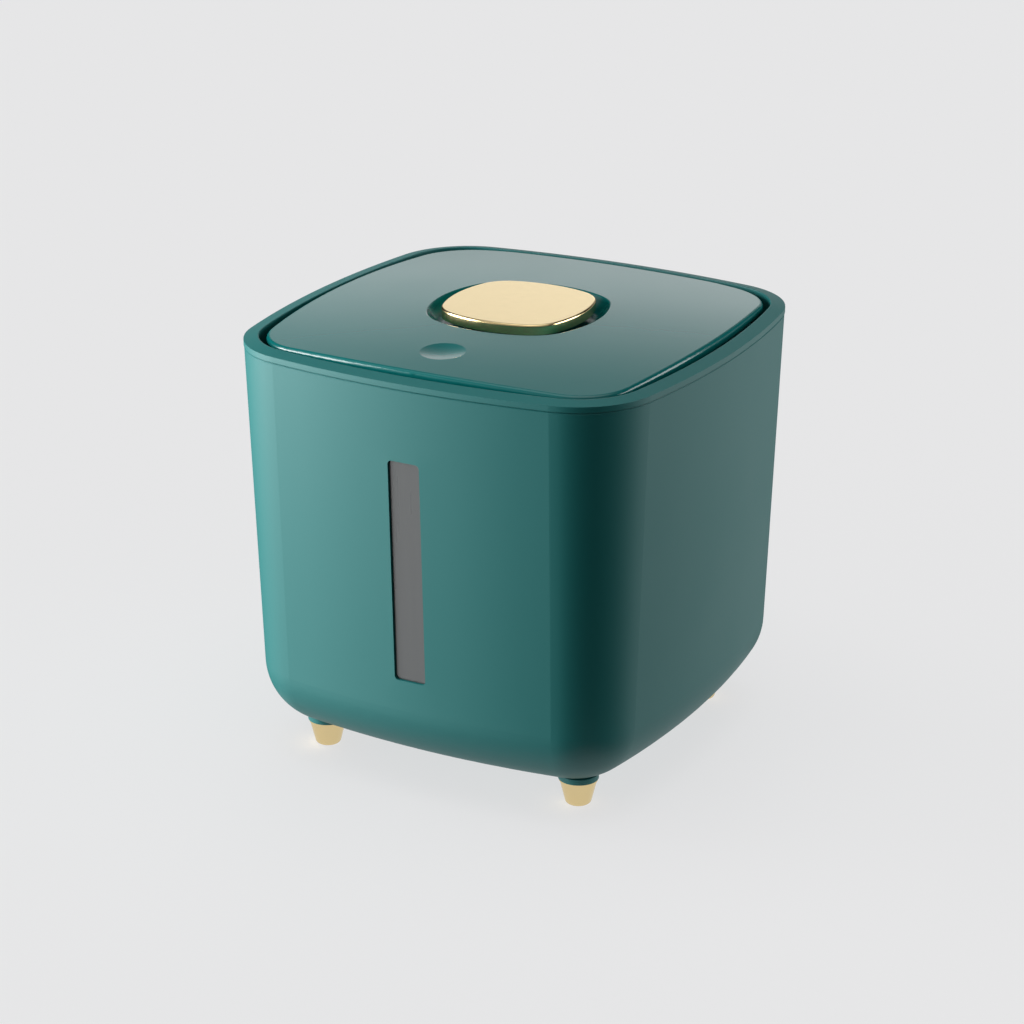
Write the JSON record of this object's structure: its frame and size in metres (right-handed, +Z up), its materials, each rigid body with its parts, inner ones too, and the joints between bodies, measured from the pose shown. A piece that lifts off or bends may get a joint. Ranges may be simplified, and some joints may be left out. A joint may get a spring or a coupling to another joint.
{
  "type": "rice storage bin",
  "caption": "Square rice bin with rounded corners, a rear-hinged crowned lid with a central grip, a push catch, a sight window and short feet.",
  "frame": {"origin": "on the floor, under the middle of the bin's outline", "axes": "+Z up; the sight window faces -Y; the lid's hinge is at +Y; +X is to the right seen from the window"},
  "size_m": [0.27, 0.27, 0.2652],
  "materials": {
    "tub_plastic": "semi-gloss deep teal green moulded ABS",
    "frame_plastic": "semi-gloss deep teal green moulded ABS",
    "lid_plastic": "semi-gloss deep teal green moulded ABS, the glossiest face",
    "panel_plastic": "off-white food-grade polypropylene",
    "gold_plating": "pale champagne gold, vacuum plated on ABS",
    "smoky_window": "smoky grey transparent styrene",
    "silicone": "translucent white silicone",
    "rubber_pad": "black rubber",
    "steel": "zinc-plated steel",
    "plated_steel": "nickel-plated",
    "catch_plastic": "dark acetal"
  },
  "bodies": {
    "root": {"body_shell": "tub_plastic", "foot_cup_front_left": "gold_plating", "foot_cup_front_right": "gold_plating", "foot_cup_rear_left": "gold_plating", "foot_cup_rear_right": "gold_plating", "foot_pad_front_left": "rubber_pad", "foot_pad_front_right": "rubber_pad", "foot_pad_rear_left": "rubber_pad", "foot_pad_rear_right": "rubber_pad", "foot_screws": "steel", "hinge_pin_left": "steel", "hinge_pin_right": "steel", "latch_housing": "catch_plastic", "latch_spring": "steel", "top_frame": "frame_plastic", "window_gasket": "silicone", "window_retainer": "panel_plastic", "window_strip": "smoky_window"},
    "lid": {"lid_cover": "lid_plastic", "recess_pan": "lid_plastic", "lid_inner_panel": "panel_plastic", "lid_gasket": "silicone", "lid_screws": "steel", "grip_cap": "gold_plating", "grip_base": "frame_plastic", "grip_screws": "steel", "striker_plate": "plated_steel"},
    "latch": {"latch_plunger": "catch_plastic", "latch_magnet": "plated_steel"}
  },
  "joints": [
    {"name": "lid_hinge", "type": "hinge", "parent": "root", "child": "lid", "pos_m": [0, 0.1065, 0.2529], "axis": [-1, 0, 0], "range_deg": [0, 100]},
    {"name": "latch_press", "type": "slide", "parent": "root", "child": "latch", "axis": [0, 0, 1], "range_m": [-0.002, 0], "stiffness_N_per_m": 300, "springref_m": 0.002, "deforming": ["latch_spring"]}
  ]
}
